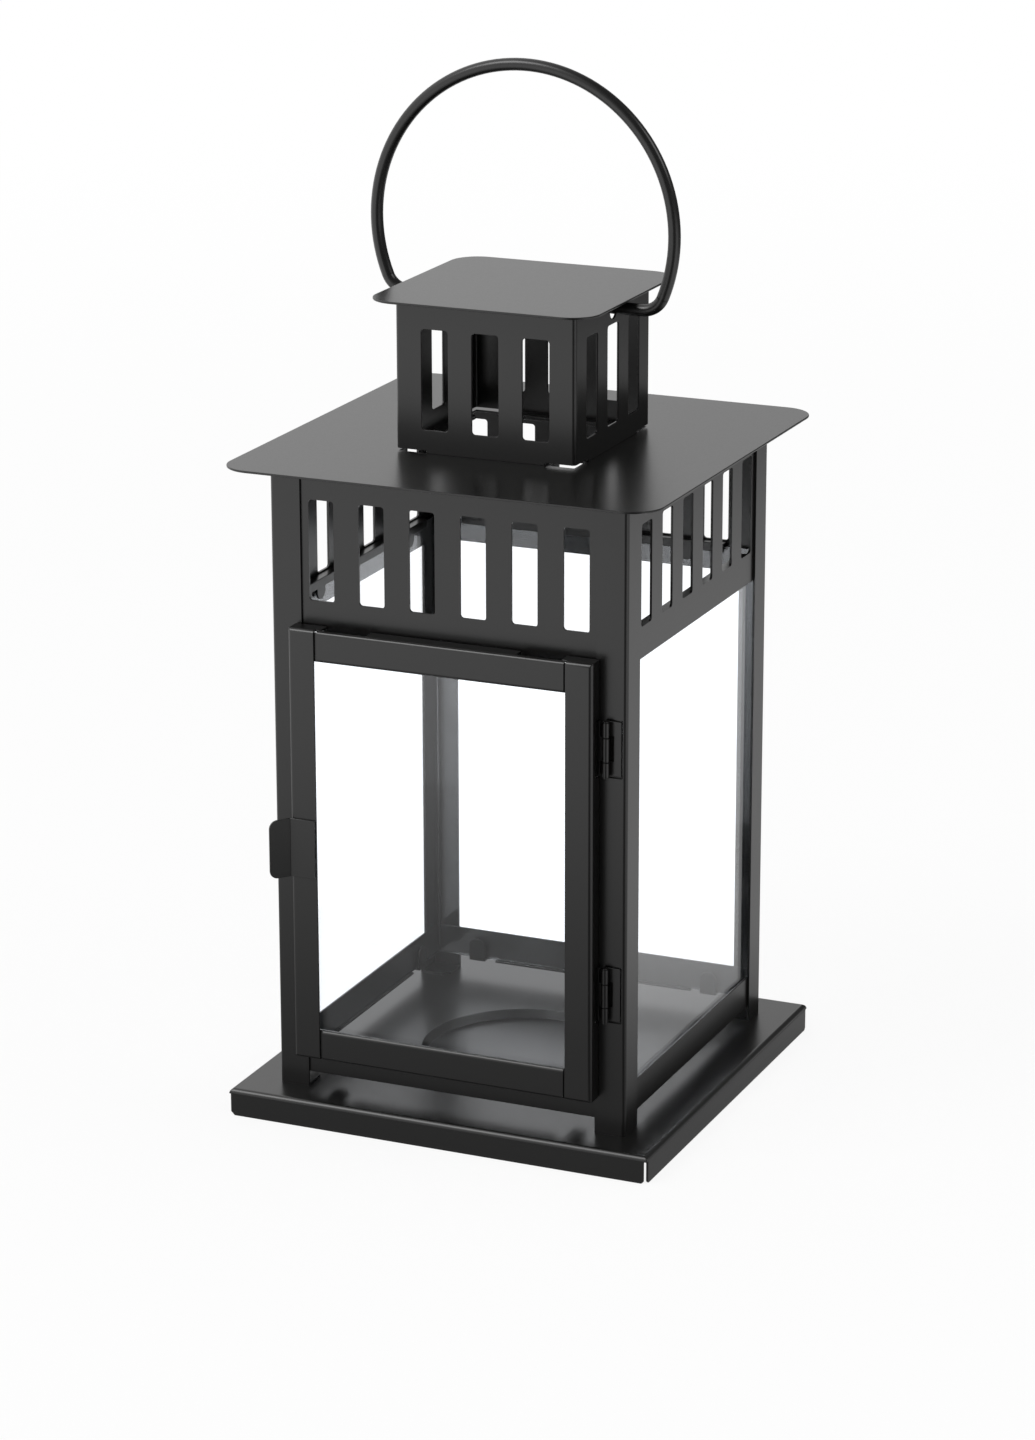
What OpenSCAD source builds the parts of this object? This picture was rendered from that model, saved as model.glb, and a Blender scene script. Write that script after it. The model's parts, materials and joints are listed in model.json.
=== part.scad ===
// Square candle lantern of folded sheet steel: a pan-shaped base tray, four angle posts,
// slotted friezes and plain sills between them, three fixed panes and a framed glass door
// on knuckle hinges, a flat roof with a slotted chimney and cap, and a swinging wire handle.
// X runs along the door side, Y to the back, Z up; the origin is the middle of the underside.

/* [Sheet] */
// Thickness of the folded steel sheet
sheet = 0.8; // [0.6:0.1:1.0]
// Outside radius of the visible folds
fold_r = 1.4; // [1.2:0.1:1.8]

/* [Base tray] */
// Side of the square tray
tray_w = 155; // [150:1:175]
// Height of the tray, ground to top
tray_h = 9.7; // [9:0.1:14]
// Outside radius of the fold along the tray's edge
tray_fold_r = 1.9; // [1.4:0.1:2.4]
// Square notch left open where two rims meet
corner_notch = 1.2; // [1.0:0.1:2.0]
// Diameter of the pressed seat for the candle
seat_d = 72; // [50:1:90]
// Depth of the candle seat
seat_depth = 3; // [1.5:0.1:3.5]

/* [Body] */
// Side of the square that the posts' outer faces make
body_w = 128.4; // [124:0.2:134]
// Height of the roof's top face above the ground
roof_z = 229.6; // [220:0.2:240]
// Width of each leg of a corner post
post_leg = 11; // [10:0.5:12]
// Height of a frieze panel's lower edge
frieze_z = 173; // [170:0.5:176]
// Lower edge of a sill panel
sill_z = 14.8; // [13.5:0.1:16]
// Height of a sill panel
sill_h = 11.2; // [9:0.1:12]

/* [Vent slots] */
// Width of one vent slot
slot_w = 9.2; // [7:0.1:10]
// Distance between neighbouring slots
slot_pitch = 18.35; // [18:0.05:18.6]
// Corner radius of a slot
slot_r = 1.1; // [0.5:0.1:2]
// Lower end of the frieze slots
frieze_slot_z = 183.7; // [183:0.1:188]
// Length of a frieze slot
frieze_slot_h = 34.6; // [25:0.1:36]

/* [Roof] */
// Side of the square roof plate
roof_w = 155; // [145:1:175]
// Corner radius of the roof plate
roof_r = 11; // [5:0.5:14]
// Distance between two opposite welding tongues of the roof opening
roof_open_w = 55; // [50:0.5:56]

/* [Chimney] */
// Side of the square chimney
chimney_w = 65; // [64:0.5:68]
// Height of the cap's top face above the ground
cap_z = 281.9; // [281.5:0.1:286]
// Side of the square cap plate
cap_w = 81; // [76:0.5:86]
// Corner radius of the cap plate
cap_r = 10; // [5:0.5:12]
// Width of one chimney slot
chimney_slot_w = 9.6; // [7:0.1:10]
// Distance between neighbouring chimney slots
chimney_slot_pitch = 18.25; // [17:0.05:18.6]
// Gap between the roof and the lower end of a chimney slot
chimney_slot_gap = 8; // [6:0.1:10]
// Length of a chimney slot
chimney_slot_h = 34.2; // [25:0.1:34.5]

/* [Handle] */
// Diameter of the handle's wire
wire_d = 4.2; // [3.6:0.1:4.4]
// Height of the handle's pivot above the ground
pivot_z = 277.3; // [277:0.1:277.6]
// Radius of the ring, to the middle of the wire
ring_r = 54; // [52:0.5:56]
// Height of the ring's centre above the ground
ring_z = 302.2; // [300:0.2:304]
// Radius of the bend between ring and pivot, to the middle of the wire
bend_r = 7.5; // [6:0.5:9]
// Diameter of the pivot holes in the chimney
pivot_hole_d = 5.9; // [5.2:0.1:6]

/* [Door] */
// Left edge of the door, from the middle
door_left = 55.1; // [54.6:0.1:55.6]
// Right edge of the door, from the middle
door_right = 54.7; // [54.5:0.1:54.9]
// Lower edge of the door
door_z = 22.8; // [22:0.1:23.5]
// Height of the door
door_h = 152.8; // [151:0.1:153.5]
// How far the door's face stands in front of the posts
door_proud = 7; // [6.6:0.1:7.2]
// Width of a door stile's face
stile_w = 9.6; // [9:0.1:10]
// Height of a door rail's face
rail_h = 10.7; // [10:0.1:12]
// Length of the flange along a door rail's edge
rail_flange = 54; // [40:1:60]

/* [Hinges] */
// Height of the upper hinge's middle
upper_hinge_z = 145.6; // [140:0.1:150]
// Height of the lower hinge's middle
lower_hinge_z = 60; // [50:0.1:65]
// Height of a hinge
hinge_h = 18.8; // [16:0.1:20]
// Height of the middle knuckle
middle_knuckle = 8.1; // [6:0.1:9]
// Outside diameter of the knuckles
knuckle_d = 2.4; // [2.3:0.1:2.6]
// Diameter of the hinge pin
pin_d = 1.2; // [1:0.1:1.2]

/* [Glass] */
// Thickness of the panes
glass_t = 2; // [1.8:0.1:2.1]

/* [Pull tab] */
// Lower edge of the pull tab
tab_z = 88.4; // [70:0.1:110]
// Height of the pull tab
tab_h = 20.7; // [15:0.1:25]
// Length of the tab's grip flange
tab_flange = 7.8; // [6:0.1:9]
// Angle between the grip flange and the door's face
tab_angle = 53; // [45:1:60]

/* [Hidden] */
$fn = 48;
eps = 0.01;
body_half = body_w / 2;
panel_face = body_half - sheet;
panel_half = body_half - 3.2;
glass_out = panel_face - sheet - 0.1;
glass_in = glass_out - glass_t;
glass_bottom = sill_z + sheet;
retainer_in = glass_in - 0.4 - sheet;
retainer_z = frieze_slot_z - 0.5;
retainer_half = 50;
glass_top = retainer_z - sheet - 0.4;
roof_under = roof_z - sheet;
cap_under = cap_z - sheet;
flange_half = 21.5;
flange_in = chimney_w / 2 - 5;
tray_half = tray_w / 2;
foot_clip = 2.4;
door_face = -body_half - door_proud;
door_back = -body_half - 0.4;
door_top = door_z + door_h;
rail_gap_left = 1.1;
rail_gap_right = 0.5;
rail_lip = 1.5;
rail_drop = 0.2;
pivot_x = 57.5;
pivot_y = -body_half - 2;
leaf_t = 0.55;
knuckle_gap = 0.2;
leaf_window_x = 56.8;
leaf_window_w = 5.9;
leaf_play = 0.7;
leaf_turn_x = 62.3;
notch_y = -body_half - 3.3;

// ---- flat outlines ----

// What a round corner of radius r takes off a square corner at the origin, in quadrant +X +Y
module corner_waste(r) {
    difference() {
        translate([-1, -1]) square(r + 1);
        translate([r, r]) circle(r);
    }
}

// Rectangle from (x0, y0) to (x1, y1) with its own radius at the corners sw, se, ne, nw
module soft_rect(x0, y0, x1, y1, radii) {
    difference() {
        translate([x0, y0]) square([x1 - x0, y1 - y0]);
        if (radii[0] > 0) translate([x0, y0]) corner_waste(radii[0]);
        if (radii[1] > 0) translate([x1, y0]) mirror([1, 0]) corner_waste(radii[1]);
        if (radii[2] > 0) translate([x1, y1]) rotate(180) corner_waste(radii[2]);
        if (radii[3] > 0) translate([x0, y1]) mirror([0, 1]) corner_waste(radii[3]);
    }
}

// Square plate outline with four equal corners, centred
module plate_outline(w, r) {
    soft_rect(-w / 2, -w / 2, w / 2, w / 2, [r, r, r, r]);
}

// Folded angle in the quadrant +X +Y, with its outer corner at the origin
module angle_outline(a, b, r = fold_r) {
    difference() {
        soft_rect(0, 0, a, b, [r, 0, 0, 0]);
        soft_rect(sheet, sheet, a + 1, b + 1, [max(r - sheet, 0.1), 0, 0, 0]);
    }
}

// ---- helpers that place flat outlines in space ----

// Extrudes an outline given as (y, z) along X, from x0 to x1
module along_x(x0, x1) {
    translate([x0, 0, 0]) rotate([90, 0, 90]) linear_extrude(x1 - x0) children();
}

// Extrudes an outline given as (x, z) along Y, from y0 to y1
module along_y(y0, y1) {
    translate([0, y1, 0]) rotate([90, 0, 0]) linear_extrude(y1 - y0) children();
}

// Extrudes an outline given as (x, y) along Z, from z0 to z1
module along_z(z0, z1) {
    translate([0, 0, z0]) linear_extrude(z1 - z0) children();
}

// Box between two corners
module block(low, high) {
    translate(low) cube(high - low);
}

// Turns what is drawn for the front side to another side: 0 front, 1 right, 2 rear, 3 left
module on_side(side) {
    rotate([0, 0, 90 * side]) children();
}

// ---- base ----

// Outline of the tray's outside (inset 0) or inside (inset one sheet), across the tray
module tray_section(inset) {
    r = tray_fold_r - inset;
    soft_rect(-tray_half + inset, -2 * inset, tray_half - inset, tray_h - inset, [0, 0, r, r]);
}

module tray_envelope(inset) {
    intersection() {
        along_x(-tray_half, tray_half) tray_section(inset);
        along_y(-tray_half, tray_half) tray_section(inset);
    }
}

// Half section of the pressed candle seat: its sloping wall and flat floor, one sheet down
module seat_section(drop, spread) {
    top_r = seat_d / 2 + spread;
    low_r = top_r - 1.2;
    floor_z = tray_h - seat_depth - drop;
    polygon([[0, floor_z], [low_r, floor_z], [top_r, tray_h - drop], [top_r, tray_h + 1], [0, tray_h + 1]]);
}

module seat_cup() {
    intersection() {
        rotate_extrude($fn = 96) seat_section(sheet, 0.5);
        block([-seat_d, -seat_d, 0], [seat_d, seat_d, tray_h]);
    }
}

module base_tray() {
    color([0.13, 0.13, 0.13])
    difference() {
        union() {
            difference() {
                tray_envelope(0);
                tray_envelope(sheet);
            }
            seat_cup();
        }
        rotate_extrude($fn = 96) seat_section(0, 0);
        for (side = [0:3]) on_side(side) rim_corner();
    }
}

// The open notch between two rims, with the lower ends of both rims clipped at 45 degrees
module rim_corner() {
    clip = 0.8;
    block([tray_half - corner_notch, -tray_half - 1, -1],
          [tray_half + 1, -tray_half + corner_notch, tray_h - tray_fold_r]);
    along_y(-tray_half - 1, -tray_half + corner_notch) polygon([
        [tray_half - corner_notch - clip, -1], [tray_half + 1, -1],
        [tray_half + 1, clip], [tray_half - corner_notch, clip], [tray_half - corner_notch - clip, 0]
    ]);
    along_x(tray_half - corner_notch, tray_half + 1) polygon([
        [-tray_half + corner_notch + clip, -1], [-tray_half - 1, -1],
        [-tray_half - 1, clip], [-tray_half + corner_notch, clip], [-tray_half + corner_notch + clip, 0]
    ]);
}

// ---- posts ----

// Post with its outer corner at the origin, legs along +X and +Y, on a foot plate folded inwards
module post() {
    along_z(tray_h, roof_under) angle_outline(post_leg, post_leg);
    along_z(tray_h, tray_h + sheet) polygon([
        [sheet / 2, sheet / 2], [post_leg, sheet / 2], [post_leg, post_leg - foot_clip],
        [post_leg - foot_clip, post_leg], [sheet / 2, post_leg]
    ]);
}

module place_post(sx, sy) {
    color([0.14, 0.14, 0.14])
    mirror([sx > 0 ? 1 : 0, 0, 0]) mirror([0, sy > 0 ? 1 : 0, 0])
    translate([-body_half, -body_half, 0]) post();
}

module post_front_left() {
    place_post(-1, -1);
}

module post_front_right() {
    color([0.14, 0.14, 0.14])
    difference() {
        place_post(1, -1);
        for (z = [upper_hinge_z, lower_hinge_z]) {
            along_y(-body_half - 1, -panel_face + eps)
                soft_rect(leaf_window_x, z - hinge_h / 2 - leaf_play, leaf_window_x + leaf_window_w,
                          z + hinge_h / 2 + leaf_play, [0.5, 0.5, 0.5, 0.5]);
        }
    }
}

module post_rear_left() {
    place_post(-1, 1);
}

module post_rear_right() {
    place_post(1, 1);
}

// ---- friezes and sills ----

// Row of equal vent slots of width w, centred on x = 0, cut through a sheet whose face is at y
module slot_row(count, w, pitch, z0, h, y) {
    for (i = [0:count - 1]) {
        x = (i - (count - 1) / 2) * pitch;
        along_y(y - 1, y + sheet + 1)
            soft_rect(x - w / 2, z0, x + w / 2, z0 + h, [slot_r, slot_r, slot_r, slot_r]);
    }
}

// Slotted panel behind the posts' legs, with a flange under the roof
module frieze(side) {
    color([0.15, 0.15, 0.15])
    on_side(side) {
        difference() {
            block([-panel_half, -panel_face, frieze_z], [panel_half, -panel_face + sheet, roof_under]);
            slot_row(6, slot_w, slot_pitch, frieze_slot_z, frieze_slot_h, -panel_face);
            block([-retainer_half, -panel_face - 1, roof_under - 3],
                  [retainer_half, -panel_face + sheet + 1, roof_under + 1]);
        }
        along_x(-retainer_half, retainer_half)
            translate([-panel_face, roof_under]) mirror([0, 1]) angle_outline(9, 3, 1.2);
    }
}

module frieze_front() {
    frieze(0);
}

module frieze_right() {
    frieze(1);
}

module frieze_rear() {
    frieze(2);
}

module frieze_left() {
    frieze(3);
}

// Tab with a round end that holds a pane: upright, thickness along Y, foot on z = 0
module round_tab(w, h) {
    r = min(w / 2 - 0.2, 3);
    along_y(0, sheet) soft_rect(-w / 2, 0, w / 2, h, [0, 0, r, r]);
}

// Plain panel with a folded ledge and two tabs: bent up in front of a pane, or left hanging inwards
module sill(side, glazed) {
    tab_w = 6.2;
    tab_length = 8.4;
    color([0.12, 0.12, 0.12])
    on_side(side) {
        block([-panel_half, -panel_face, sill_z], [panel_half, -panel_face + sheet, sill_z + sill_h]);
        block([-37.5, -panel_face, sill_z], [37.5, -panel_face + 3.5, sill_z + sheet]);
        for (x = [-44.5, 44.5]) {
            if (glazed) {
                block([x - tab_w / 2, -panel_face, sill_z], [x + tab_w / 2, -retainer_in, sill_z + sheet]);
                translate([x, -retainer_in - sheet, sill_z]) round_tab(tab_w, tab_length);
            } else {
                translate([x, -panel_face + sheet / 2, sill_z + sheet]) rotate([-98, 0, 0])
                    round_tab(tab_w, tab_length);
            }
        }
    }
}

module sill_front() {
    sill(0, false);
}

module sill_right() {
    sill(1, true);
}

module sill_rear() {
    sill(2, true);
}

module sill_left() {
    sill(3, true);
}

// Angle strip along the top edge of a pane: ledge, short lip and two hanging tabs
module glass_retainer(side) {
    y_out = -panel_face + sheet;
    lip_h = 3.2;
    color([0.16, 0.16, 0.16])
    on_side(side) {
        block([-retainer_half, y_out, retainer_z - sheet], [retainer_half, -retainer_in, retainer_z]);
        block([-retainer_half, -retainer_in - sheet, retainer_z - lip_h],
              [retainer_half, -retainer_in, retainer_z]);
        for (x = [-36, 36])
            translate([x, -retainer_in - sheet, retainer_z]) mirror([0, 0, 1]) round_tab(6.4, 7.2);
    }
}

module glass_retainer_right() {
    glass_retainer(1);
}

module glass_retainer_rear() {
    glass_retainer(2);
}

module glass_retainer_left() {
    glass_retainer(3);
}

// ---- panes ----

// Pane behind one side; half is half its width
module pane(side, half) {
    color([0.8, 0.85, 0.85, 0.35])
    on_side(side) block([-half, -glass_out, glass_bottom], [half, -glass_in, glass_top]);
}

module glass_right() {
    pane(1, glass_out - 0.2);
}

module glass_left() {
    pane(3, glass_out - 0.2);
}

module glass_rear() {
    pane(2, glass_in - 0.3);
}

// ---- roof, chimney and cap ----

module roof_plate() {
    color([0.35, 0.35, 0.35])
    along_z(roof_under, roof_z) difference() {
        plate_outline(roof_w, roof_r);
        roof_opening();
    }
}

// Square opening as wide as the chimney inside, less a welding tongue on each side
module roof_opening() {
    inside = chimney_w - 2 * sheet - eps;
    tongue_w = 2 * flange_half + 1;
    difference() {
        plate_outline(inside, 0);
        for (turn = [0:3]) rotate(90 * turn)
            translate([-tongue_w / 2, -inside / 2 - 1]) square([tongue_w, (inside - roof_open_w) / 2 + 1]);
    }
}

module cap_plate() {
    color([0.38, 0.38, 0.38])
    along_z(cap_under, cap_z) plate_outline(cap_w, cap_r);
}

// Square tube with slots, relieved lower corners, pivot holes and inward flanges
module chimney() {
    half = chimney_w / 2;
    hole_z = pivot_z + (wire_d - pivot_hole_d) / 2 + 0.05;
    color([0.17, 0.17, 0.17]) {
        difference() {
            along_z(roof_z, cap_under) difference() {
                plate_outline(chimney_w, fold_r);
                plate_outline(chimney_w - 2 * sheet, fold_r - sheet);
            }
            for (side = [0:3]) on_side(side) {
                slot_row(3, chimney_slot_w, chimney_slot_pitch, roof_z + chimney_slot_gap, chimney_slot_h, -half);
                block([flange_half, -half - 1, roof_z - 1], [half + 1, -flange_half, roof_z + 0.9]);
            }
            translate([-half - 1, 0, hole_z]) rotate([0, 90, 0]) cylinder(h = chimney_w + 2, d = pivot_hole_d);
        }
        for (side = [0:3]) on_side(side) {
            block([-flange_half, -half + sheet / 2, roof_z], [flange_half, -flange_in, roof_z + sheet]);
            block([-flange_half, -half + sheet / 2, cap_under - sheet], [flange_half, -flange_in, cap_under]);
        }
    }
}

// ---- handle ----

// Ring of the handle, open below the bends
module handle_ring(meet) {
    translate([0, 0, ring_z]) rotate([90, 0, 0]) rotate([0, 0, -meet])
        rotate_extrude(angle = 180 + 2 * meet, $fn = 180)
            translate([ring_r, 0]) circle(d = wire_d, $fn = 24);
}

// Right bend and the pivot end inside the chimney; a hair thinner, so that it sinks into the ring
module handle_end(meet) {
    thin_d = wire_d - 0.04;
    bend_x = (ring_r - bend_r) * cos(meet);
    end_x = chimney_w / 2 - 5;
    translate([bend_x, 0, pivot_z + bend_r]) rotate([90, 0, 0]) rotate([0, 0, -90])
        rotate_extrude(angle = 90 - meet + 0.3, $fn = 72)
            translate([bend_r, 0]) circle(d = thin_d, $fn = 24);
    translate([end_x, 0, pivot_z]) rotate([0, 90, 0]) cylinder(h = bend_x - end_x, d = thin_d, $fn = 24);
}

module handle() {
    meet = asin((ring_z - bend_r - pivot_z) / (ring_r - bend_r));
    color([0.1, 0.1, 0.1]) {
        handle_ring(meet);
        handle_end(meet);
        mirror([1, 0, 0]) handle_end(meet);
    }
}

// ---- hinges, drawn about their own pin at the origin, middle height z = 0 ----

module knuckle(z0, z1, bore) {
    difference() {
        translate([0, 0, z0]) cylinder(h = z1 - z0, d = knuckle_d);
        translate([0, 0, z0 - 1]) cylinder(h = z1 - z0 + 2, d = bore);
    }
}

module on_hinge(z) {
    translate([pivot_x, pivot_y, z]) children();
}

// Two outer knuckles with a neck behind them, a plate flush in the post's window, and a pad behind it
module post_leaf() {
    half_h = hinge_h / 2;
    plate_y = -body_half - pivot_y;
    turn_x = leaf_turn_x - pivot_x;
    pad_y = -panel_face - pivot_y;
    bore = pin_d + 0.04;
    difference() {
        union() {
            knuckle(-half_h, half_h, bore);
            block([-leaf_t / 2, knuckle_d / 2 - leaf_t, -half_h], [leaf_t / 2, plate_y + leaf_t, half_h]);
            block([-leaf_t / 2, plate_y, -half_h], [turn_x, plate_y + leaf_t, half_h]);
        }
        translate([0, 0, -half_h - 1]) cylinder(h = hinge_h + 2, d = bore);
        block([-2, -2, -middle_knuckle / 2 - knuckle_gap], [1.9, pad_y, middle_knuckle / 2 + knuckle_gap]);
    }
    block([turn_x - leaf_t, plate_y, -half_h], [turn_x, pad_y + leaf_t, half_h]);
    block([turn_x - 7.5, pad_y, -half_h - 1.3], [turn_x, pad_y + leaf_t, half_h + 1.3]);
}

// Middle knuckle, a web through the stile's notch, and a pad along the inside of its wall
module door_leaf() {
    half_h = hinge_h / 2;
    web_y = knuckle_d / 2 - leaf_t;
    pad_y = notch_y - 2.2 - pivot_y;
    pad_x = door_right - sheet - leaf_t - pivot_x;
    bore = pin_d + 0.1;
    difference() {
        union() {
            knuckle(-middle_knuckle / 2, middle_knuckle / 2, bore);
            block([pad_x, web_y, -middle_knuckle / 2], [0, web_y + leaf_t, middle_knuckle / 2]);
        }
        translate([0, 0, -half_h]) cylinder(h = hinge_h, d = bore);
    }
    block([pad_x, web_y, -half_h], [-2.3, web_y + leaf_t, half_h]);
    block([pad_x, pad_y, -half_h], [pad_x + leaf_t, web_y + leaf_t, half_h]);
}

// Pin with a peened head at each end
module hinge_pin() {
    half_h = hinge_h / 2;
    translate([0, 0, -half_h]) cylinder(h = hinge_h, d = pin_d, $fn = 32);
    for (s = [-1, 1])
        translate([0, 0, s * (half_h + 0.2) - 0.2]) cylinder(h = 0.4, d = pin_d + 0.7, $fn = 32);
}

module upper_hinge_post_leaf() {
    color([0.13, 0.13, 0.13]) on_hinge(upper_hinge_z) post_leaf();
}

module lower_hinge_post_leaf() {
    color([0.13, 0.13, 0.13]) on_hinge(lower_hinge_z) post_leaf();
}

module upper_hinge_door_leaf() {
    color([0.13, 0.13, 0.13]) on_hinge(upper_hinge_z) door_leaf();
}

module lower_hinge_door_leaf() {
    color([0.13, 0.13, 0.13]) on_hinge(lower_hinge_z) door_leaf();
}

module upper_hinge_pin() {
    color([0.2, 0.2, 0.2]) on_hinge(upper_hinge_z) hinge_pin();
}

module lower_hinge_pin() {
    color([0.2, 0.2, 0.2]) on_hinge(lower_hinge_z) hinge_pin();
}

// ---- door ----

// Outside (inset 0) or inside (inset one sheet) of a stile, its outer edge on x = 0 and its face on y = 0
module stile_envelope(inset, length) {
    r = 1.4 - inset;
    back = door_back - door_face + 2 * inset;
    intersection() {
        along_z(inset, door_h - inset) soft_rect(inset, inset, length + 2 * inset, back, [r, 0, 0, 0]);
        along_x(0, length + 2 * inset) soft_rect(inset, inset, back, door_h - inset, [r, 0, 0, r]);
    }
}

// Face and side wall of a stile, with flanges at top and bottom that run on past the face
module stile() {
    flange = stile_w + 2;
    difference() {
        stile_envelope(0, flange);
        stile_envelope(sheet, flange);
        block([stile_w, -1, -1], [flange + 1, rail_lip + 0.3, door_h + 1]);
    }
}

module door_left_stile() {
    color([0.14, 0.14, 0.14]) translate([-door_left, door_face, door_z]) stile();
}

module door_right_stile() {
    color([0.14, 0.14, 0.14])
    difference() {
        translate([door_right, door_face, door_z]) mirror([1, 0, 0]) stile();
        for (z = [upper_hinge_z, lower_hinge_z])
            block([door_right - sheet - 1, notch_y, z - hinge_h / 2 - 0.4],
                  [door_right + 1, door_back + 1, z + hinge_h / 2 + 0.4]);
    }
}

// Rail drawn as the lower one, with its lower edge on z = 0: face with both edges folded back,
// tongues behind the stiles, and a flange with two lips that keep the pane in
module rail() {
    x0 = -door_left + stile_w + rail_gap_left;
    x1 = door_right - stile_w - rail_gap_right;
    lip_y = door_face + 2 * sheet + glass_t + 0.6;
    tongue = 7;
    along_x(x0, x1) translate([door_face, 0]) {
        angle_outline(rail_lip, rail_h / 2 + 1, 1.2);
        translate([0, rail_h]) mirror([0, 1]) angle_outline(rail_lip, rail_h / 2 + 1, 1.2);
    }
    block([-rail_flange / 2, door_face + sheet, 0], [rail_flange / 2, door_back - 0.4, sheet]);
    for (x = [[x0 - tongue, x0 + 1.5], [x1 - 1.5, x1 + tongue]])
        block([x[0], door_face + sheet, 1.4], [x[1], door_face + 2 * sheet, rail_h - 1]);
    for (x = [-rail_flange / 2, rail_flange / 2 - 8])
        block([x, lip_y, 0], [x + 8, lip_y + sheet, 5]);
}

module door_bottom_rail() {
    color([0.12, 0.12, 0.12]) translate([0, 0, door_z + rail_drop]) rail();
}

module door_top_rail() {
    color([0.15, 0.15, 0.15]) translate([0, 0, door_top - rail_drop]) mirror([0, 0, 1]) rail();
}

module door_glass() {
    y0 = door_face + 2 * sheet + 0.2;
    color([0.8, 0.85, 0.85, 0.35])
    block([-door_left + sheet + 1.4, y0, door_z + rail_drop + sheet],
          [door_right - sheet - 1.4, y0 + glass_t, door_top - rail_drop - sheet - 1]);
}

// Plate on the left stile with a grip flange bent forwards and outwards
module pull_tab() {
    grip_z = tab_h / 2;
    reach = [-cos(tab_angle), -sin(tab_angle)];
    thick = [-sin(tab_angle), cos(tab_angle)] * sheet;
    tip = reach * tab_flange;
    plate_w = stile_w - 0.6;
    color([0.13, 0.13, 0.13])
    translate([-door_left + 0.3, door_face, tab_z])
    difference() {
        linear_extrude(tab_h) polygon([
            [plate_w, -sheet], [plate_w, 0], [0, 0], thick - [0, sheet],
            tip + thick - [0, sheet], tip - [0, sheet], [0, -sheet]
        ]);
        translate([0, -sheet, grip_z]) rotate([0, 0, 180 + tab_angle]) for (end = [0, 1]) mirror([0, 0, end])
            translate([tab_flange, 2, -grip_z]) rotate([90, 0, 0]) linear_extrude(4)
                mirror([1, 0]) corner_waste(3);
    }
}

// Small bar magnet behind the leg of the front left post, level with the pull tab
module catch_magnet() {
    color([0.6, 0.6, 0.62])
    block([-body_half + 4, -panel_face, tab_z + 4], [-body_half + 10.4, -panel_face + 2, tab_z + tab_h - 4]);
}

base_tray();
post_front_left();
post_front_right();
post_rear_left();
post_rear_right();
frieze_front();
frieze_rear();
frieze_left();
frieze_right();
sill_front();
sill_rear();
sill_left();
sill_right();
glass_retainer_rear();
glass_retainer_left();
glass_retainer_right();
glass_rear();
glass_left();
glass_right();
roof_plate();
chimney();
cap_plate();
handle();
catch_magnet();
upper_hinge_post_leaf();
lower_hinge_post_leaf();
upper_hinge_pin();
lower_hinge_pin();
upper_hinge_door_leaf();
lower_hinge_door_leaf();
door_left_stile();
door_right_stile();
door_top_rail();
door_bottom_rail();
door_glass();
pull_tab();
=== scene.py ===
import bpy
import json
from math import radians
from mathutils import Matrix, Vector

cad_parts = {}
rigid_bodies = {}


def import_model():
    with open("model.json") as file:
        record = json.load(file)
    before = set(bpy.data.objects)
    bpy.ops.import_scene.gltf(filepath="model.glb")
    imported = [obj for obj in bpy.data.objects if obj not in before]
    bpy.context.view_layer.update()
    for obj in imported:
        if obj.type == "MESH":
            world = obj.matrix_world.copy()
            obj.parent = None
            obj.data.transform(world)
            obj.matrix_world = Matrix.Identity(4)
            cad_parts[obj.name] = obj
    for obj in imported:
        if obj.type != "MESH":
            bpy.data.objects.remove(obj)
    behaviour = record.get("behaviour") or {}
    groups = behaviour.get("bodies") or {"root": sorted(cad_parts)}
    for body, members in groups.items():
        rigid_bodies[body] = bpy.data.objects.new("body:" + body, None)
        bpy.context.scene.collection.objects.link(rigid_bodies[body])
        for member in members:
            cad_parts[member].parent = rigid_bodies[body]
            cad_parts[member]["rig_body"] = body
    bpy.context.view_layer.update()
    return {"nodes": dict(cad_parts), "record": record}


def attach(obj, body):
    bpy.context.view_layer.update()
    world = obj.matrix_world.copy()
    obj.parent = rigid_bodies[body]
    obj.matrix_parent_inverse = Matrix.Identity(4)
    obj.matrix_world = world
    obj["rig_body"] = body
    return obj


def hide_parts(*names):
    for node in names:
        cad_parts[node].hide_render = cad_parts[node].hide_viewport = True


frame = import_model()
print("frame loaded:", len(frame["nodes"]), "nodes")

cameraSetup = {
    "place": (0.58627, -1.35404, 0.59121),
    "azimuth": 23.504,
    "elevation": 17.366,
    "roll": -0.106,
    "lens": 112.12,  # on the 36 mm long side of the picture
}


def addCamera(setup):
    data = bpy.data.cameras.new("camera")
    data.sensor_fit = "VERTICAL"
    data.sensor_height = 36
    data.lens = setup["lens"]
    camera = bpy.data.objects.new("camera", data)
    bpy.context.scene.collection.objects.link(camera)
    camera.matrix_world = (
        Matrix.Translation(setup["place"])
        @ Matrix.Rotation(radians(setup["azimuth"]), 4, "Z")
        @ Matrix.Rotation(radians(90 - setup["elevation"]), 4, "X")
        @ Matrix.Rotation(radians(setup["roll"]), 4, "Z")
    )
    bpy.context.scene.camera = camera


addCamera(cameraSetup)
bpy.context.scene.view_settings.view_transform = "Standard"
print("camera set")


def newMaterial(name):
    material = bpy.data.materials.new(name)
    material.use_nodes = True
    tree = material.node_tree
    return material, tree, tree.nodes["Principled BSDF"]


def addNode(tree, kind, **values):
    node = tree.nodes.new(kind)
    for key, value in values.items():
        if hasattr(node, key):
            setattr(node, key, value)
        else:
            node.inputs[key].default_value = value
    return node


def addMath(tree, operation, first, second):
    node = addNode(tree, "ShaderNodeMath", operation=operation)
    for socket, value in zip(node.inputs, (first, second)):
        if isinstance(value, (int, float)):
            socket.default_value = value
        else:
            tree.links.new(value, socket)
    return node.outputs[0]


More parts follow.
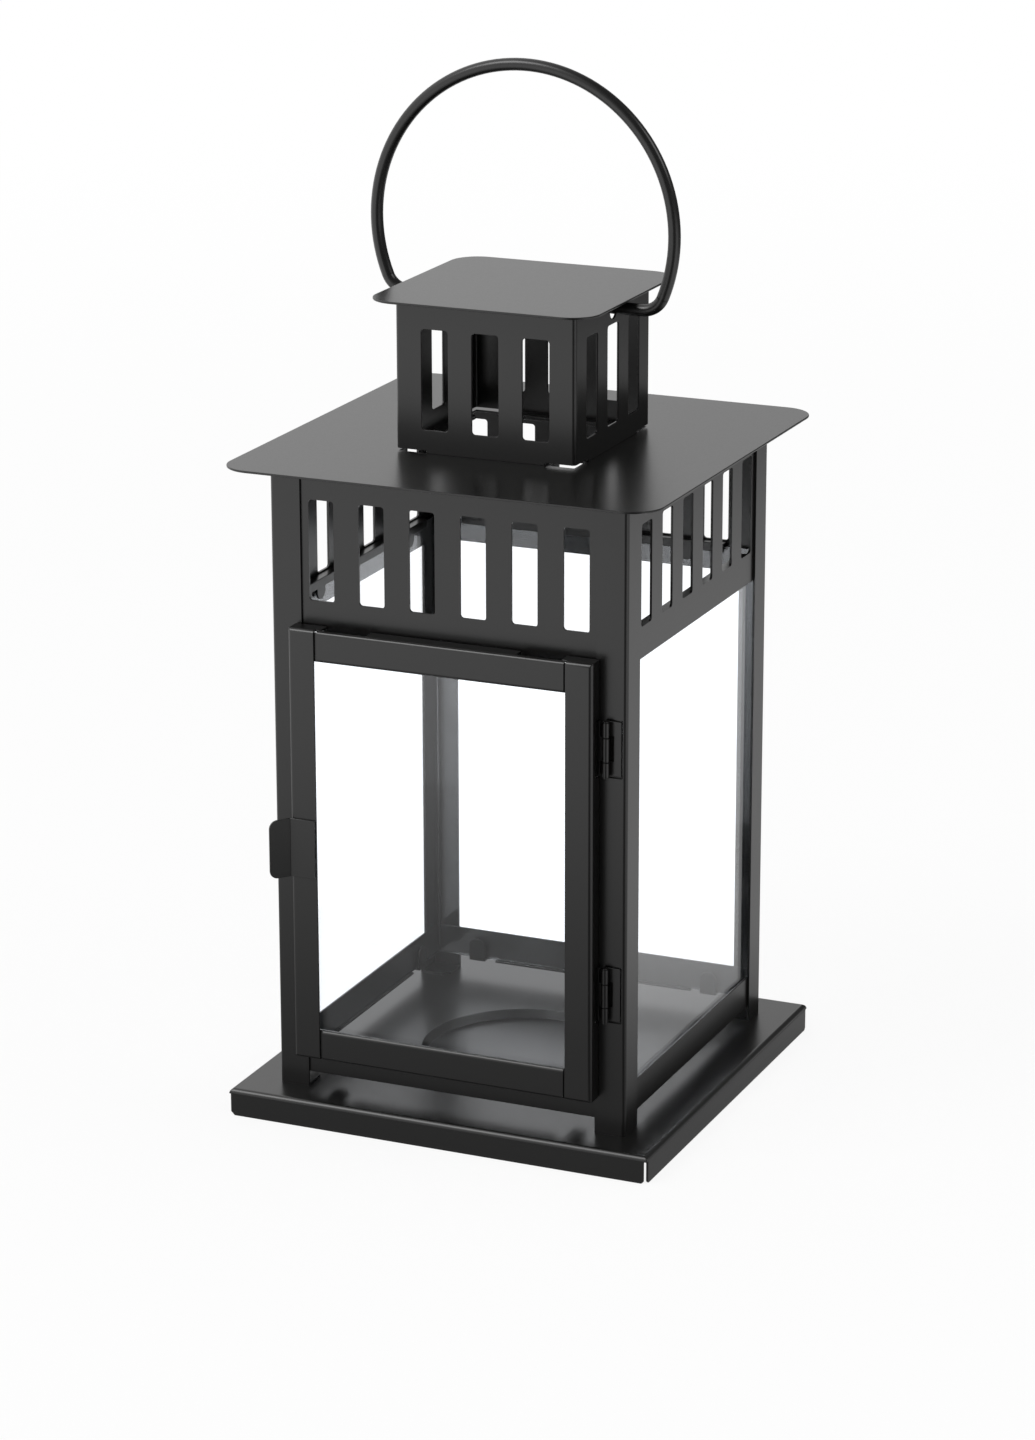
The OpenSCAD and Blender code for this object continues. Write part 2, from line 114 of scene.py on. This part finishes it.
def addRange(tree, value, edges, levels, way="SMOOTHSTEP"):
    node = addNode(tree, "ShaderNodeMapRange", interpolation_type=way)
    for name, number in zip(("From Min", "From Max", "To Min", "To Max"), (*edges, *levels)):
        node.inputs[name].default_value = number
    tree.links.new(value, node.inputs["Value"])
    return node.outputs["Result"]


def mixShaders(tree, share, first, second, sink):
    blend = tree.nodes.new("ShaderNodeMixShader")
    tree.links.new(share, blend.inputs["Fac"])
    tree.links.new(first, blend.inputs[1])
    tree.links.new(second, blend.inputs[2])
    tree.links.new(blend.outputs["Shader"], tree.nodes[sink].inputs["Surface"])


# sizes in millimetres, depths as shares of a bump's distance
coatInputs = {
    "Grain size": 0.5,
    "Peel size": 2.2,
    "Grain depth": 0.05,
    "Peel depth": 1.0,
    "Patch size": 60.0,
}


def buildCoatGroup():
    group = bpy.data.node_groups.new("sprayedCoat", "ShaderNodeTree")
    face = group.interface
    for name, number in coatInputs.items():
        socket = face.new_socket(name, in_out="INPUT", socket_type="NodeSocketFloat")
        socket.default_value = number
    for name in ("Height", "Grain", "Patches"):
        face.new_socket(name, in_out="OUTPUT", socket_type="NodeSocketFloat")
    source = group.nodes.new("NodeGroupInput")
    sink = group.nodes.new("NodeGroupOutput")
    place = group.nodes.new("ShaderNodeTexCoord").outputs["Object"]

    def noise(sizeName, detail, roughness):
        # a size in millimetres becomes a scale on coordinates in metres
        node = addNode(group, "ShaderNodeTexNoise", Detail=detail, Roughness=roughness)
        scale = addMath(group, "DIVIDE", 1000.0, source.outputs[sizeName])
        group.links.new(place, node.inputs["Vector"])
        group.links.new(scale, node.inputs["Scale"])
        return node.outputs["Fac"]

    grain = noise("Grain size", detail=1.0, roughness=0.5)
    peel = noise("Peel size", detail=1.0, roughness=0.5)
    patches = noise("Patch size", detail=3.0, roughness=0.55)
    grainPart = addMath(group, "MULTIPLY", grain, source.outputs["Grain depth"])
    peelPart = addMath(group, "MULTIPLY", peel, source.outputs["Peel depth"])
    height = addMath(group, "ADD", grainPart, peelPart)
    group.links.new(height, sink.inputs["Height"])
    group.links.new(grain, sink.inputs["Grain"])
    group.links.new(patches, sink.inputs["Patches"])
    return group


sprayedCoat = buildCoatGroup()

blackCoat = {
    "colour": (0.0035, 0.0034, 0.0033, 1),
    "paler": (0.0055, 0.0053, 0.0051, 1),  # in patches
    "grainSpan": (0.3, 0.7),  # the part of the grain's noise that changes the gloss
    "roughness": (0.278, 0.3),  # below 0.275 the denoiser keeps the noise of what it mirrors
    "ior": 1.6,
    "grainSize": 0.55,  # millimetres
    "peelSize": 2.4,
    "bump": 0.000006,
}
wireCoat = {**blackCoat, "roughness": (0.278, 0.31), "bump": 0.000012}
pinCoat = {**blackCoat, "roughness": (0.278, 0.33), "bump": 0.000012}


def makeCoat(name, look):
    material, tree, shader = newMaterial(name)
    coat = tree.nodes.new("ShaderNodeGroup")
    coat.node_tree = sprayedCoat
    shader.inputs["IOR"].default_value = look["ior"]
    coat.inputs["Grain size"].default_value = look["grainSize"]
    coat.inputs["Peel size"].default_value = look["peelSize"]
    tone = addNode(tree, "ShaderNodeMix", data_type="RGBA")
    tone.inputs[6].default_value = look["colour"]
    tone.inputs[7].default_value = look["paler"]
    tree.links.new(coat.outputs["Patches"], tone.inputs[0])
    tree.links.new(tone.outputs[2], shader.inputs["Base Color"])
    gloss = addRange(tree, coat.outputs["Grain"], look["grainSpan"], look["roughness"], "LINEAR")
    tree.links.new(gloss, shader.inputs["Roughness"])
    bump = addNode(tree, "ShaderNodeBump", Distance=look["bump"], Strength=1.0)
    tree.links.new(coat.outputs["Height"], bump.inputs["Height"])
    tree.links.new(bump.outputs["Normal"], shader.inputs["Normal"])
    return material


coatMaterial = makeCoat("blackSheetCoat", blackCoat)
wireMaterial = makeCoat("blackWireCoat", wireCoat)
pinMaterial = makeCoat("pinCoat", pinCoat)

clearPane = {
    "colour": (0.965, 0.98, 1.0, 1),
    "shadow": (0.93, 0.95, 0.94, 1),  # a pane's own shadow is almost clear
    "ior": 1.5,
}


def makeGlass(name, look):
    material, tree, shader = newMaterial(name)
    shader.inputs["Base Color"].default_value = look["colour"]
    shader.inputs["Roughness"].default_value = 0.0
    shader.inputs["IOR"].default_value = look["ior"]
    shader.inputs["Transmission Weight"].default_value = 1.0
    clear = addNode(tree, "ShaderNodeBsdfTransparent")
    clear.inputs["Color"].default_value = look["shadow"]
    isShadow = tree.nodes.new("ShaderNodeLightPath").outputs["Is Shadow Ray"]
    mixShaders(tree, isShadow, shader.outputs["BSDF"], clear.outputs["BSDF"], "Material Output")
    return material


glassMaterial = makeGlass("clearPane", clearPane)

magnetPlating = {
    "colour": (0.45, 0.45, 0.46, 1),
    "roughness": (0.25, 0.45),
    "grainScale": 900.0,
    "grainDetail": 3.0,
}


def makeMagnet(name, look):
    material, tree, shader = newMaterial(name)
    shader.inputs["Base Color"].default_value = look["colour"]
    shader.inputs["Metallic"].default_value = 1.0
    place = tree.nodes.new("ShaderNodeTexCoord")
    noise = addNode(
        tree, "ShaderNodeTexNoise", Scale=look["grainScale"], Detail=look["grainDetail"]
    )
    tree.links.new(place.outputs["Object"], noise.inputs["Vector"])
    gloss = addRange(tree, noise.outputs["Fac"], (0.0, 1.0), look["roughness"], "LINEAR")
    tree.links.new(gloss, shader.inputs["Roughness"])
    return material


magnetMaterial = makeMagnet("magnetPlating", magnetPlating)
print("materials made")

edgeWidths = {"sheet": 0.00024, "glass": 0.0002, "small": 0.00008}
rounding = {
    "mergeDistance": 0.000004,
    "flatAngle": 0.5,  # degrees, as the next two
    "edgeAngle": 35,
    "smoothAngle": 40,
    "segments": 2,
}
# pieces with steps narrower than the rounding, which is held back there
closeFolds = ("door_bottom_rail", "door_top_rail", "frieze", "post", "handle")

# strips behind the seams between rails and stiles, from the stile's back to the rail's
seamStrips = {
    "acrossLeft": (-0.0460, -0.0429),
    "acrossRight": (0.0431, 0.0459),
    "behindFace": (0.00082, 0.00155),
    "door_bottom_rail": (0.02364, 0.03362),
    "door_top_rail": (0.16478, 0.17476),
}


def addSeamStrips(name):
    face = min(vertex.co.y for vertex in frame["nodes"][name].data.vertices)
    front, back = seamStrips["behindFace"]
    low, high = seamStrips[name]
    for left, right in (seamStrips["acrossLeft"], seamStrips["acrossRight"]):
        bpy.ops.mesh.primitive_cube_add(
            size=1,
            location=((left + right) / 2, face + (front + back) / 2, (low + high) / 2),
            scale=(right - left, back - front, high - low),
        )


def softenedNode(name, width, material):
    source = frame["nodes"][name]
    body = source["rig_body"]
    bpy.ops.object.select_all(action="DESELECT")
    piece = bpy.data.objects.new(name + "_coated", source.data.copy())
    bpy.context.scene.collection.objects.link(piece)
    bpy.context.view_layer.objects.active = piece
    piece.select_set(True)
    bpy.ops.object.mode_set(mode="EDIT")
    bpy.ops.mesh.select_all(action="SELECT")
    bpy.ops.mesh.customdata_custom_splitnormals_clear()
    bpy.ops.mesh.remove_doubles(threshold=rounding["mergeDistance"])
    bpy.ops.mesh.select_all(action="SELECT")
    bpy.ops.mesh.dissolve_limited(angle_limit=radians(rounding["flatAngle"]))
    if name in seamStrips:
        addSeamStrips(name)
    bpy.ops.object.mode_set(mode="OBJECT")
    bevel = piece.modifiers.new("roundedEdge", "BEVEL")
    bevel.width = width
    bevel.segments = rounding["segments"]
    bevel.use_clamp_overlap = name.startswith(closeFolds)
    bevel.limit_method = "ANGLE"
    bevel.angle_limit = radians(rounding["edgeAngle"])
    bpy.ops.object.modifier_apply(modifier=bevel.name)
    bpy.ops.object.shade_smooth_by_angle(angle=radians(rounding["smoothAngle"]))
    normals = piece.modifiers.new("evenShading", "WEIGHTED_NORMAL")
    normals.keep_sharp = True
    bpy.ops.object.modifier_apply(modifier=normals.name)
    piece.data.materials.clear()
    piece.data.materials.append(material)
    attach(piece, body)
    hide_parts(name)


slotOf = {entry["node"]: entry["material_slot"] for entry in frame["record"]["subparts"]}
materialOf = {
    "black_coat": (coatMaterial, "sheet"),
    "black_wire": (wireMaterial, "small"),
    "black_pin": (pinMaterial, "small"),
    "clear_glass": (glassMaterial, "glass"),
    "magnet": (magnetMaterial, "small"),
}
for name in sorted(frame["nodes"]):
    material, edge = materialOf[slotOf[name]]
    softenedNode(name, edgeWidths[edge], material)
print("pieces coated")

studio = {
    "floorSize": 14,
    "floorColour": (0.85, 0.85, 0.85, 1),
    "fill": 0.75,  # light of the room on the lantern
    # what the eye sees of the floor
    "whiteShare": 0.88,
    "whiteReach": (0.5, 2.0),  # all white further out
    "paneGain": 1.12,  # makes up for what each surface of a pane takes
    # what the lantern mirrors: levels over distances from its centre, with painted shade: the
    # floor's glow is dimmed close by in place of the lantern's shadow on it, and darkened on the
    # camera's side
    "frontReach": (0.10, 0.66),
    "frontLevel": (0.32, 1.12),
    "backReach": (0.08, 0.22),
    "backLevel": (0.35, 0.73),
    "backWay": (0.407, 0.914, 0.0),
    "backSpan": (0.0, 0.8),
    "farReach": (0.7, 1.3),
    "farLevel": 0.2,
    "cameraStart": (0.09, -0.06, 0.0),
    "cameraWay": (0.342, -0.940, 0.0),
    "cameraEdge": (0.76, 0.97),
    "cameraLevel": 0.12,
    "wallEdge": (-0.5, 0.22),
    "wallLevel": (0.97, 0.14),
}


def addVector(tree, operation, first, second=None):
    node = addNode(tree, "ShaderNodeVectorMath", operation=operation)
    tree.links.new(first, node.inputs[0])
    if second is not None:
        node.inputs[1].default_value = second
    return node.outputs["Value" if operation in ("LENGTH", "DOT_PRODUCT") else "Vector"]


def addMirrorOnly(tree):
    # rays that a glossy face has sent on, whether or not they have crossed a pane
    path = tree.nodes.new("ShaderNodeLightPath")
    mirrored = addMath(tree, "GREATER_THAN", path.outputs["Glossy Depth"], 0.5)
    notDiffuse = addMath(tree, "SUBTRACT", 1.0, path.outputs["Is Diffuse Ray"])
    return path, addMath(tree, "MULTIPLY", mirrored, notDiffuse)


def addStrength(tree, path, mirrored, level):
    # white to the eye, and the studio's own level in a reflection
    strength = addNode(tree, "ShaderNodeMix", data_type="FLOAT")
    strength.inputs[2].default_value = 1.0
    tree.links.new(mirrored, strength.inputs[0])
    tree.links.new(level, strength.inputs[3])
    panes = addMath(tree, "POWER", studio["paneGain"], path.outputs["Transmission Depth"])
    return addMath(tree, "MULTIPLY", strength.outputs[0], panes)


def makeFloorMaterial(name):
    material, tree, shader = newMaterial(name)
    material.cycles.emission_sampling = "NONE"  # only seen and mirrored, never a lamp
    shader.inputs["Base Color"].default_value = studio["floorColour"]
    shader.inputs["Roughness"].default_value = 1.0
    shader.inputs["Specular IOR Level"].default_value = 0.0
    glow = addNode(tree, "ShaderNodeEmission")
    path, mirrored = addMirrorOnly(tree)
    isCamera, isThrough = path.outputs["Is Camera Ray"], path.outputs["Is Transmission Ray"]
    seen = addMath(tree, "MAXIMUM", isCamera, isThrough)
    place = tree.nodes.new("ShaderNodeTexCoord").outputs["Object"]
    reach = addVector(tree, "LENGTH", place)
    white = addRange(tree, reach, studio["whiteReach"], (studio["whiteShare"], 1.0))
    seenShare = addMath(tree, "MULTIPLY", seen, white)
    share = addMath(tree, "MAXIMUM", seenShare, mirrored)
    # what the lantern mirrors, with painted shade: dim close by, in place of the lantern's shadow
    # on the floor, and dark on the side it is seen from at rest
    way = addVector(tree, "NORMALIZE", place)
    front = addRange(tree, reach, studio["frontReach"], studio["frontLevel"])
    far = addRange(tree, reach, studio["farReach"], (1.0, studio["farLevel"]))
    back = addRange(tree, reach, studio["backReach"], studio["backLevel"])
    back = addMath(tree, "MULTIPLY", back, far)
    backWay = addVector(tree, "DOT_PRODUCT", way, studio["backWay"])
    backShare = addRange(tree, backWay, studio["backSpan"], (0.0, 1.0))
    around = addNode(tree, "ShaderNodeMix", data_type="FLOAT")
    tree.links.new(backShare, around.inputs[0])
    tree.links.new(front, around.inputs[2])
    tree.links.new(back, around.inputs[3])
    fromStart = addVector(tree, "SUBTRACT", place, studio["cameraStart"])
    fromStart = addVector(tree, "NORMALIZE", fromStart)
    cameraWay = addVector(tree, "DOT_PRODUCT", fromStart, studio["cameraWay"])
    shade = addRange(tree, cameraWay, studio["cameraEdge"], (1.0, studio["cameraLevel"]))
    level = addMath(tree, "MULTIPLY", around.outputs[0], shade)
    tree.links.new(addStrength(tree, path, mirrored, level), glow.inputs["Strength"])
    mixShaders(tree, share, shader.outputs["BSDF"], glow.outputs["Emission"], "Material Output")
    return material


def addFloor():
    bpy.ops.object.select_all(action="DESELECT")
    bpy.ops.mesh.primitive_plane_add(size=studio["floorSize"], location=(0, 0, 0))
    floor = bpy.context.object
    floor.name = "floor"
    floor.data.materials.append(makeFloorMaterial("paleFloor"))


def addWorld():
    world = bpy.data.worlds.new("studio")
    world.use_nodes = True
    bpy.context.scene.world = world
    world.cycles.sampling_method = "NONE"
    tree = world.node_tree
    soft = tree.nodes["Background"]
    soft.inputs["Color"].default_value = (1, 1, 1, 1)
    soft.inputs["Strength"].default_value = studio["fill"]
    white = addNode(tree, "ShaderNodeBackground")
    white.inputs["Color"].default_value = (1, 1, 1, 1)
    path, mirrored = addMirrorOnly(tree)
    # what it mirrors of the room: white on the left, dim on the right
    way = tree.nodes.new("ShaderNodeTexCoord").outputs["Generated"]
    split = tree.nodes.new("ShaderNodeSeparateXYZ")
    tree.links.new(way, split.inputs["Vector"])
    wall = addRange(tree, split.outputs["X"], studio["wallEdge"], studio["wallLevel"])
    tree.links.new(addStrength(tree, path, mirrored, wall), white.inputs["Strength"])
    seen = addMath(tree, "MAXIMUM", path.outputs["Is Camera Ray"], path.outputs["Is Glossy Ray"])
    seen = addMath(tree, "MAXIMUM", seen, path.outputs["Is Transmission Ray"])
    mixShaders(tree, seen, soft.outputs["Background"], white.outputs["Background"], "World Output")


lamps = {
    "keyLamp": {"place": (-1.2, -1.4, 2.2), "size": 1.2, "power": 22},
    "sideLamp": {"place": (1.8, 0.2, 1.5), "size": 1.0, "power": 8},
}
lampTarget = (0, 0, 0.15)


def addLamp(name, lampSetup):
    data = bpy.data.lights.new(name, "AREA")
    data.shape = "SQUARE"
    data.size = lampSetup["size"]
    data.energy = lampSetup["power"]
    lamp = bpy.data.objects.new(name, data)
    bpy.context.scene.collection.objects.link(lamp)
    lamp.location = lampSetup["place"]
    direction = Vector(lampTarget) - lamp.location
    lamp.rotation_euler = direction.to_track_quat("-Z", "Y").to_euler()


addFloor()
addWorld()
for name, lampSetup in lamps.items():
    addLamp(name, lampSetup)
print("studio lit")
